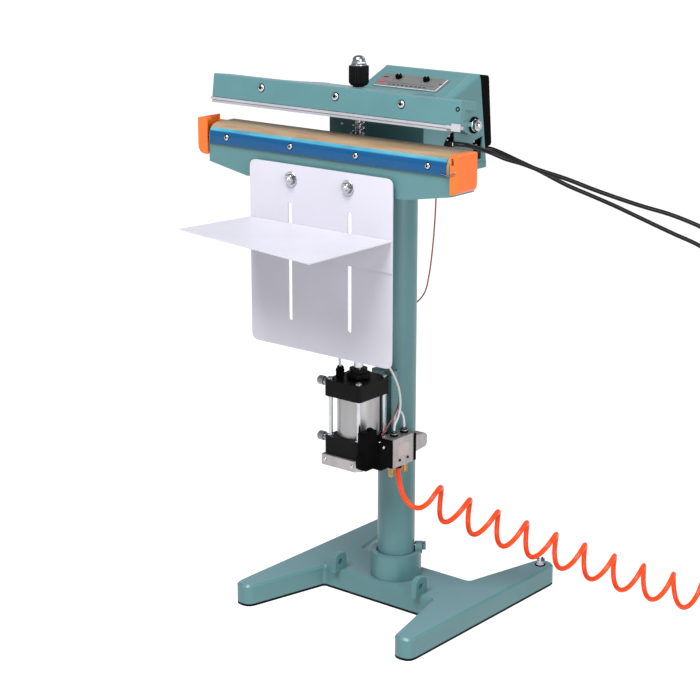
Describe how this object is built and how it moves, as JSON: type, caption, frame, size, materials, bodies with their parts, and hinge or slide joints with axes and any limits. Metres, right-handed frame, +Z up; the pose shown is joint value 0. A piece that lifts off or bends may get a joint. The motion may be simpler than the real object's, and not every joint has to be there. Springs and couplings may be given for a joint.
{
  "type": "impulse heat sealer",
  "caption": "Column-mounted pneumatic impulse sealer: an air cylinder pulls a hinged upper jaw onto a heated lower jaw above an adjustable bag shelf, on an H-shaped base.",
  "frame": {"origin": "on the floor under the column's axis", "axes": "+X along the jaws to the operator's right, +Y from the operator to the back, +Z up"},
  "size_m": [0.819, 0.896, 0.881],
  "materials": {
    "teal_paint": "semi-gloss, slightly pebbled enamel",
    "rubber_black": "matt",
    "chrome": "polished",
    "steel": "drawn",
    "aluminium": "cast and machined, satin",
    "black_plastic": "moulded, fine grain",
    "orange_plastic": "moulded, satin gloss",
    "white_paint": "powder coat, smooth",
    "blue_film": "glossy metallic film",
    "ptfe_tape": "woven glass cloth, satin",
    "panel_grey": "printed film",
    "transformer_iron": "laminated, varnished",
    "board_green": "soldered board",
    "black_anodised": "anodised, satin",
    "hose_orange": "smooth polyurethane",
    "clear_tube": "milky nylon",
    "lead_red": "insulated wire",
    "silicone": "moulded silicone"
  },
  "bodies": {
    "stand": {"base_casting": "teal_paint", "base_sole": "rubber_black", "column_tube": "teal_paint", "column_lock_bolt": "chrome", "lower_jaw_frame": "teal_paint", "heating_wire": "steel", "ptfe_tape": "ptfe_tape", "tape_clamp_strip": "blue_film", "end_cap_left": "orange_plastic", "end_cap_right": "orange_plastic", "housing_shell": "teal_paint", "control_panel": "panel_grey", "rear_cover": "black_plastic", "transformer": "transformer_iron", "timer_board": "board_green", "mains_gland": "rubber_black", "switch_gland": "rubber_black", "pivot_bolt_left": "chrome", "pivot_bolt_right": "chrome", "return_spring": "steel", "back_plate": "white_paint", "plate_bolt_left": "chrome", "plate_bolt_right": "chrome", "cylinder_top_cover": "black_anodised", "cylinder_bottom_cover": "black_anodised", "cylinder_barrel": "aluminium", "cylinder_foot_plate": "aluminium", "cylinder_bracket": "teal_paint", "elbow_fitting": "black_plastic", "solenoid_coil": "black_plastic", "valve_body": "aluminium", "valve_pilot": "aluminium", "valve_hose_fitting": "black_plastic", "mains_cable": "rubber_black", "mains_coil": "rubber_black", "mains_plug": "black_plastic", "switch_cable": "rubber_black", "switch_coil": "rubber_black", "switch_connector": "black_plastic", "air_hose_lead": "hose_orange", "air_hose_coil": "hose_orange", "air_hose_tail": "hose_orange", "air_hose_fitting": "steel", "air_tube_top": "clear_tube", "air_tube_low": "clear_tube", "solenoid_lead": "lead_red"},
    "ram": {"pull_rod": "chrome", "piston": "chrome"},
    "upper_jaw": {"upper_jaw_frame": "teal_paint", "strip_holder": "white_paint", "silicone_strip": "silicone"},
    "pressure_nut": {"pressure_knob": "black_plastic"},
    "bag_shelf": {"shelf": "white_paint", "shelf_bolt_left": "chrome", "shelf_bolt_right": "chrome"},
    "sealing_dial": {"sealing_time_knob": "black_plastic"},
    "cooling_dial": {"cooling_time_knob": "black_plastic"},
    "top_needle": {"flow_screw_top": "chrome"},
    "low_needle": {"flow_screw_bottom": "chrome"},
    "override": {"override_button": "black_plastic"}
  },
  "joints": [
    {"name": "ram_slide", "type": "slide", "parent": "stand", "child": "ram", "axis": [0, 0, -1], "range_m": [0, 0.0212], "stiffness_N_per_m": 4000, "springref_m": -0.03, "deforming": ["return_spring"]},
    {"name": "upper_jaw_hinge", "type": "hinge", "parent": "stand", "child": "upper_jaw", "pos_m": [0, 0.0485, 0.771], "axis": [1, 0, 0], "range_deg": [0, 7.71]},
    {"name": "pressure_knob_turn", "type": "hinge", "parent": "ram", "child": "pressure_nut", "pos_m": [0, -0.097, 0.85], "axis": [0, 0, 1], "range_deg": [-360, 360]},
    {"name": "shelf_slide", "type": "slide", "parent": "stand", "child": "bag_shelf", "axis": [0, 0, 1], "range_m": [-0.12, 0.05]},
    {"name": "sealing_knob_turn", "type": "hinge", "parent": "stand", "child": "sealing_dial", "pos_m": [-0.031, 0.04001, 0.83017], "axis": [0, -0.3826, 0.9239], "range_deg": [-135, 135]},
    {"name": "cooling_knob_turn", "type": "hinge", "parent": "stand", "child": "cooling_dial", "pos_m": [0.022, 0.04001, 0.83017], "axis": [0, -0.3826, 0.9239], "range_deg": [-135, 135]},
    {"name": "top_needle_turn", "type": "hinge", "parent": "stand", "child": "top_needle", "pos_m": [-0.04, -0.116, 0.379], "axis": [-1, 0, 0], "range_deg": [-360, 360]},
    {"name": "low_needle_turn", "type": "hinge", "parent": "stand", "child": "low_needle", "pos_m": [-0.04, -0.116, 0.289], "axis": [-1, 0, 0], "range_deg": [-360, 360]},
    {"name": "override_push", "type": "slide", "parent": "stand", "child": "override", "axis": [0, -1, 0], "range_m": [0, 0.002], "stiffness_N_per_m": 800, "springref_m": -0.001}
  ],
  "couplings": [
    {"joint": "upper_jaw_hinge", "follows": "ram_slide", "rad_per_m": 6.3474}
  ]
}
